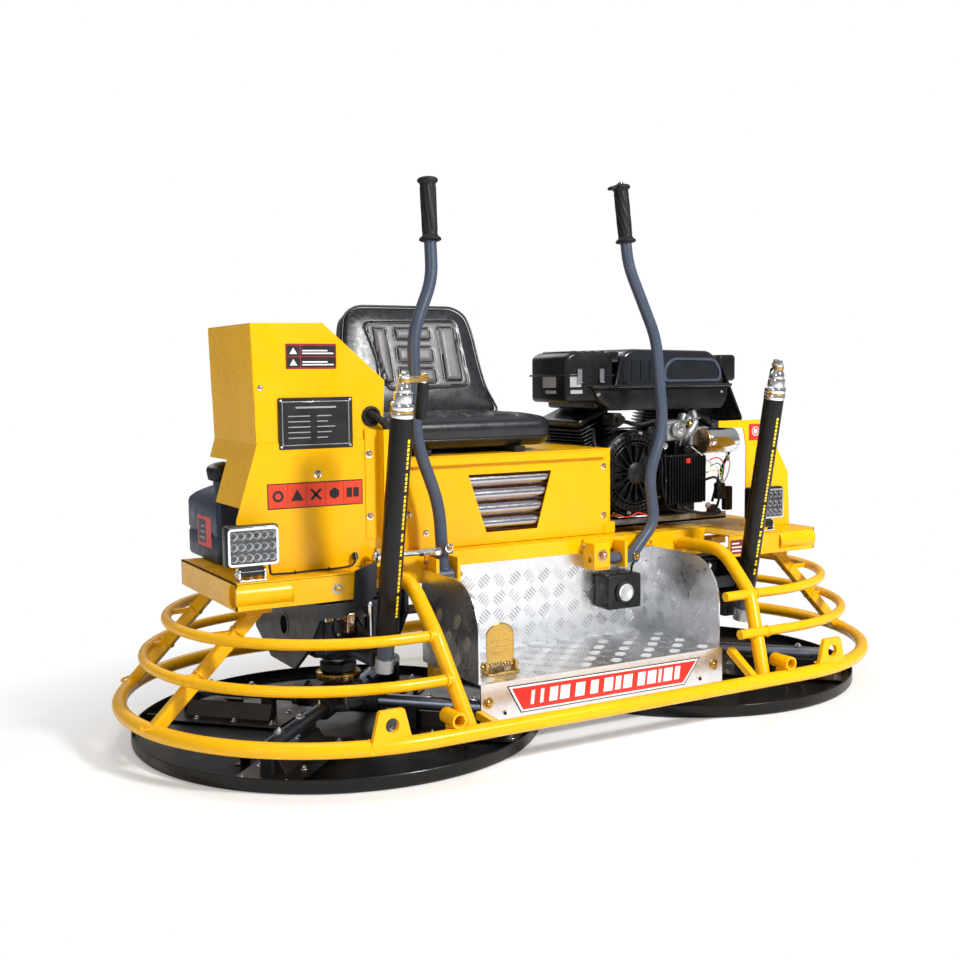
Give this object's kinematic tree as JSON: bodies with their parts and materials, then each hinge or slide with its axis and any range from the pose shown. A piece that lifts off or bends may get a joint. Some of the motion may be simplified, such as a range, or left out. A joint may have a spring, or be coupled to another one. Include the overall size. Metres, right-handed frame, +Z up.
{
  "type": "ride-on power trowel",
  "caption": "Twin-rotor ride-on power trowel with float pans, ring guard, seat, engine, two control levers and pitch columns.",
  "frame": {"origin": "on the floor, midway between the two rotor axes", "axes": "+X along the machine to the operator's left, -Y forward as the operator faces, +Z up"},
  "size_m": [2.0774, 1.0474, 1.3401],
  "materials": {
    "yellow_paint": "gloss",
    "slate_paint": "satin",
    "black_paint": "satin",
    "diamond_plate": "satin",
    "chrome": "polished",
    "steel": "satin",
    "zinc_gold": "satin",
    "casting": "matte",
    "black_plastic": "matte",
    "rubber": "matte",
    "vinyl": "satin",
    "can_plastic": "satin",
    "pan_steel": "satin",
    "lamp_housing": "satin"
  },
  "bodies": {
    "chassis": {"main_frame": "yellow_paint", "guard_lower_ring": "yellow_paint", "foot_well": "diamond_plate", "seat_box": "yellow_paint", "seat_box_window_pipes": "chrome", "left_cabinet": "yellow_paint", "right_guard_panel": "yellow_paint", "fuel_can": "can_plastic", "light_lead": "rubber", "foot_lamp": "lamp_housing", "pedal_base": "zinc_gold", "left_lever_bracket": "yellow_paint", "right_lever_bracket": "yellow_paint", "seat_rails": "steel", "engine_block": "casting", "engine_fan_housing": "black_plastic", "engine_top_cover": "black_plastic", "air_cleaner": "black_plastic", "exhaust_heat_shield": "black_paint", "oil_filter": "steel", "voltage_regulator": "black_paint", "drive_belt": "rubber", "transfer_gearbox": "casting", "left_tray": "yellow_paint", "left_guard_cage": "yellow_paint", "left_gearbox_hanger": "slate_paint", "left_light_bracket": "chrome", "right_tray": "yellow_paint", "right_guard_cage": "yellow_paint", "right_gearbox_hanger": "slate_paint", "right_light_bracket": "chrome"},
    "left_gearbox": {"left_gearbox": "casting", "left_pitch_column": "black_paint"},
    "right_gearbox": {"right_gearbox": "casting", "right_pitch_column": "black_paint"},
    "left_rotor": {"left_rotor": "casting", "left_float_pan": "pan_steel"},
    "right_rotor": {"right_rotor": "casting", "right_float_pan": "pan_steel"},
    "right_cradle": {"right_gearbox_cradle": "slate_paint"},
    "left_crank": {"left_pitch_crank": "chrome"},
    "right_crank": {"right_pitch_crank": "chrome"},
    "left_drive_shaft": {"left_drive_shaft": "steel"},
    "right_drive_shaft": {"right_drive_shaft": "steel"},
    "input_pulley": {"input_pulley": "casting"},
    "engine_pulley": {"engine_pulley": "casting"},
    "left_lever": {"left_lever": "slate_paint", "left_grip": "rubber"},
    "right_yoke": {"right_lever_yoke": "slate_paint"},
    "right_lever": {"right_lever": "slate_paint", "right_grip": "rubber"},
    "grip_button": {"grip_button": "chrome"},
    "left_link": {"left_link_rod": "chrome"},
    "pedal": {"foot_pedal": "zinc_gold"},
    "seat": {"seat_cushion": "vinyl", "seat_backrest": "vinyl"},
    "left_light": {"left_work_light": "lamp_housing"},
    "right_light": {"right_work_light": "lamp_housing"},
    "can_cap": {"fuel_can_cap": "black_plastic"}
  },
  "joints": [
    {"name": "left_rotor_spin", "type": "hinge", "parent": "left_gearbox", "child": "left_rotor", "pos_m": [-0.515, 0, 0.1], "axis": [0, 0, 1], "continuous": true},
    {"name": "right_rotor_spin", "type": "hinge", "parent": "right_gearbox", "child": "right_rotor", "pos_m": [0.515, 0, 0.1], "axis": [0, 0, 1], "continuous": true},
    {"name": "left_gearbox_tilt", "type": "hinge", "parent": "chassis", "child": "left_gearbox", "pos_m": [-0.515, 0, 0.265], "axis": [1, 0, 0], "range_deg": [-1.25, 3], "stiffness_Nm_per_rad": 60000},
    {"name": "right_gearbox_tilt", "type": "hinge", "parent": "chassis", "child": "right_cradle", "pos_m": [0.515, 0, 0.265], "axis": [1, 0, 0], "range_deg": [-1.25, 3], "stiffness_Nm_per_rad": 60000},
    {"name": "right_gearbox_roll", "type": "hinge", "parent": "right_cradle", "child": "right_gearbox", "pos_m": [0.515, 0, 0.265], "axis": [0, 1, 0], "range_deg": [-2.5, 2.5], "stiffness_Nm_per_rad": 60000},
    {"name": "left_lever_tilt", "type": "hinge", "parent": "chassis", "child": "left_lever", "pos_m": [0, -0.15, 0.37], "axis": [1, 0, 0], "range_deg": [-5, 12]},
    {"name": "right_lever_tilt", "type": "hinge", "parent": "chassis", "child": "right_yoke", "pos_m": [0, -0.15, 0.37], "axis": [1, 0, 0], "range_deg": [-5, 12]},
    {"name": "right_lever_side", "type": "hinge", "parent": "right_yoke", "child": "right_lever", "pos_m": [0.25, -0.15, 0.37], "axis": [0, 0.9962, -0.0872], "range_deg": [-7.5, 7.5]},
    {"name": "left_link_swing", "type": "hinge", "parent": "chassis", "child": "left_link", "pos_m": [-0.486, -0.172, 0.434], "axis": [0, 0, 1], "range_deg": [-5, 2.1]},
    {"name": "left_crank_turn", "type": "hinge", "parent": "left_gearbox", "child": "left_crank", "pos_m": [-0.519, -0.397, 0.845], "axis": [0, -0.1903, 0.9817], "continuous": true},
    {"name": "right_crank_turn", "type": "hinge", "parent": "right_gearbox", "child": "right_crank", "pos_m": [0.519, -0.397, 0.845], "axis": [0, -0.1903, 0.9817], "continuous": true},
    {"name": "left_shaft_spin", "type": "hinge", "parent": "chassis", "child": "left_drive_shaft", "pos_m": [0, 0, 0.265], "axis": [1, 0, 0], "continuous": true},
    {"name": "right_shaft_spin", "type": "hinge", "parent": "chassis", "child": "right_drive_shaft", "pos_m": [0, 0, 0.265], "axis": [1, 0, 0], "continuous": true},
    {"name": "input_pulley_spin", "type": "hinge", "parent": "chassis", "child": "input_pulley", "pos_m": [0.2, 0.3, 0.265], "axis": [0, 1, 0], "continuous": true},
    {"name": "engine_spin", "type": "hinge", "parent": "chassis", "child": "engine_pulley", "pos_m": [0.375, 0.3, 0.57], "axis": [0, 1, 0], "continuous": true},
    {"name": "grip_button_press", "type": "slide", "parent": "right_lever", "child": "grip_button", "axis": [0.0558, -0.087, -0.9946], "range_m": [0, 0.003], "stiffness_N_per_m": 300},
    {"name": "pedal_press", "type": "hinge", "parent": "chassis", "child": "pedal", "pos_m": [-0.25, -0.318, 0.182], "axis": [1, 0, 0], "range_deg": [0, 20], "stiffness_Nm_per_rad": 8, "springref_deg": -5.73},
    {"name": "seat_slide", "type": "slide", "parent": "chassis", "child": "seat", "axis": [0, 1, 0], "range_m": [-0.005, 0.06]},
    {"name": "left_light_aim", "type": "hinge", "parent": "chassis", "child": "left_light", "pos_m": [-0.791, -0.19, 0.427], "axis": [1, 0, 0], "range_deg": [-12, 20]},
    {"name": "right_light_aim", "type": "hinge", "parent": "chassis", "child": "right_light", "pos_m": [0.668, -0.19, 0.427], "axis": [1, 0, 0], "range_deg": [-12, 20]},
    {"name": "can_cap_turn", "type": "hinge", "parent": "chassis", "child": "can_cap", "pos_m": [-0.752, 0.124, 0.608], "axis": [-0.2085, -0.1751, 0.9622], "continuous": true}
  ],
  "couplings": [
    {"joint": "right_rotor_spin", "follows": "left_rotor_spin", "ratio": -1},
    {"joint": "left_shaft_spin", "follows": "left_rotor_spin", "ratio": 15},
    {"joint": "right_shaft_spin", "follows": "left_rotor_spin", "ratio": -15},
    {"joint": "input_pulley_spin", "follows": "left_rotor_spin", "ratio": 15},
    {"joint": "engine_spin", "follows": "left_rotor_spin", "ratio": 20.454},
    {"joint": "left_lever_tilt", "follows": "left_gearbox_tilt", "ratio": 4},
    {"joint": "left_link_swing", "follows": "left_gearbox_tilt", "ratio": -1.5},
    {"joint": "right_lever_tilt", "follows": "right_gearbox_tilt", "ratio": 4},
    {"joint": "right_lever_side", "follows": "right_gearbox_roll", "ratio": 3}
  ]
}
